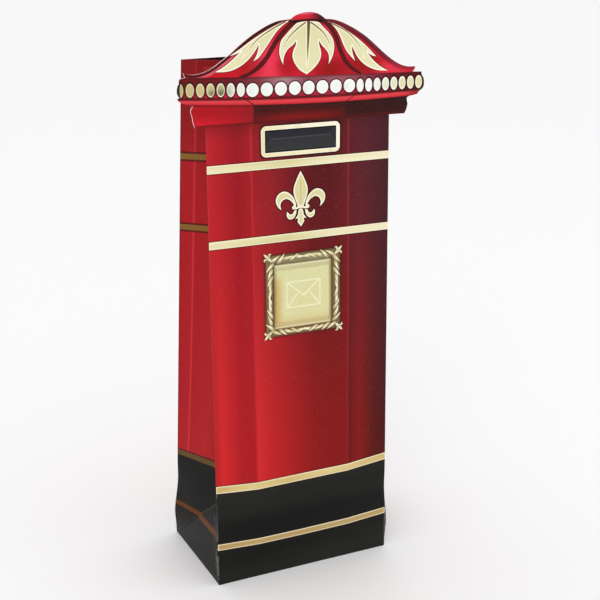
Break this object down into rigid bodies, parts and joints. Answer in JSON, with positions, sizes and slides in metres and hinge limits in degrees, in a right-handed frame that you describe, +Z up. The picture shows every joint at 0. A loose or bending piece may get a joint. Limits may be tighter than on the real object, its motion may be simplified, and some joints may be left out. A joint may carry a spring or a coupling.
{
  "type": "pillar box gift bag",
  "caption": "Free-standing gusseted paper gift bag printed as a red pillar post box, open at the top, with a die-cut dome and cornice card, foil trim and a folding mouth.",
  "frame": {"origin": "bottom centre of the bounding box, on the surface the bag stands on", "axes": "+Z up, the printed front faces -Y, +X to the right seen from the front"},
  "size_m": [0.1698, 0.0806, 0.372],
  "materials": {
    "printed_paper": "gloss laminated red and black print",
    "gusset_paper": "gloss laminated dark red print",
    "topper_card": "gloss laminated red print, white cut edge",
    "inner_paper": "dark uncoated inside",
    "grey_board": "uncoated grey board",
    "gold_foil": "hot-stamped pale gold foil",
    "black_film": "gloss black print"
  },
  "bodies": {
    "front": {"front_panel": "printed_paper", "front_mouth_strip": "inner_paper", "topper_card": "topper_card", "bead_row": "gold_foil", "dome_leaf_left": "gold_foil", "dome_leaf_centre": "gold_foil", "dome_leaf_right": "gold_foil", "foil_band_1": "gold_foil", "foil_band_2": "gold_foil", "foil_band_3": "gold_foil", "foil_band_4": "gold_foil", "slot_frame": "gold_foil", "slot_picture": "black_film", "fleur_de_lis": "gold_foil", "plaque_frame": "gold_foil", "plaque_plate": "gold_foil", "base_flap_front": "printed_paper", "base_flap_rear": "printed_paper", "base_tuck_left": "inner_paper", "base_tuck_right": "inner_paper", "base_board": "grey_board"},
    "back": {"rear_panel": "printed_paper", "rear_mouth_strip": "inner_paper", "seam_tab": "inner_paper"},
    "left_front_half": {"left_gusset_front": "gusset_paper"},
    "left_rear_half": {"left_gusset_rear": "gusset_paper"},
    "right_front_half": {"right_gusset_front": "gusset_paper"},
    "right_rear_half": {"right_gusset_rear": "gusset_paper"},
    "left_foot": {"left_foot_web": "gusset_paper"},
    "right_foot": {"right_foot_web": "gusset_paper"}
  },
  "joints": [
    {"name": "mouth_pinch", "type": "hinge", "parent": "front", "child": "back", "pos_m": [0, 0.04015, 0.0002], "axis": [1, 0, 0], "range_deg": [-4, 5]},
    {"name": "left_front_fold", "type": "hinge", "parent": "front", "child": "left_front_half", "pos_m": [-0.0668, -0.0394, 0], "axis": [0, 0.0432, 0.9991], "range_deg": [-24.2, 19.4]},
    {"name": "right_front_fold", "type": "hinge", "parent": "front", "child": "right_front_half", "pos_m": [0.0596, -0.0394, 0], "axis": [0, 0.0432, 0.9991], "range_deg": [-19.4, 24.2]},
    {"name": "left_rear_fold", "type": "hinge", "parent": "back", "child": "left_rear_half", "pos_m": [-0.0668, 0.0394, 0], "axis": [0, -0.079, 0.9969], "range_deg": [-19.4, 24.2]},
    {"name": "right_rear_fold", "type": "hinge", "parent": "back", "child": "right_rear_half", "pos_m": [0.0596, 0.0394, 0], "axis": [0, -0.079, 0.9969], "range_deg": [-24.2, 19.4]},
    {"name": "left_foot_fold", "type": "hinge", "parent": "front", "child": "left_foot", "pos_m": [-0.0668, 0, 0.0009], "axis": [0, 1, 0], "range_deg": [-5.8, 7.2]},
    {"name": "right_foot_fold", "type": "hinge", "parent": "front", "child": "right_foot", "pos_m": [0.0596, 0, 0.0009], "axis": [0, 1, 0], "range_deg": [-7.2, 5.8]}
  ],
  "couplings": [
    {"joint": "left_front_fold", "follows": "mouth_pinch", "ratio": -4.8},
    {"joint": "right_front_fold", "follows": "mouth_pinch", "ratio": 4.8},
    {"joint": "left_rear_fold", "follows": "mouth_pinch", "ratio": 4.8},
    {"joint": "right_rear_fold", "follows": "mouth_pinch", "ratio": -4.8},
    {"joint": "left_foot_fold", "follows": "mouth_pinch", "ratio": 1.4},
    {"joint": "right_foot_fold", "follows": "mouth_pinch", "ratio": -1.4}
  ]
}
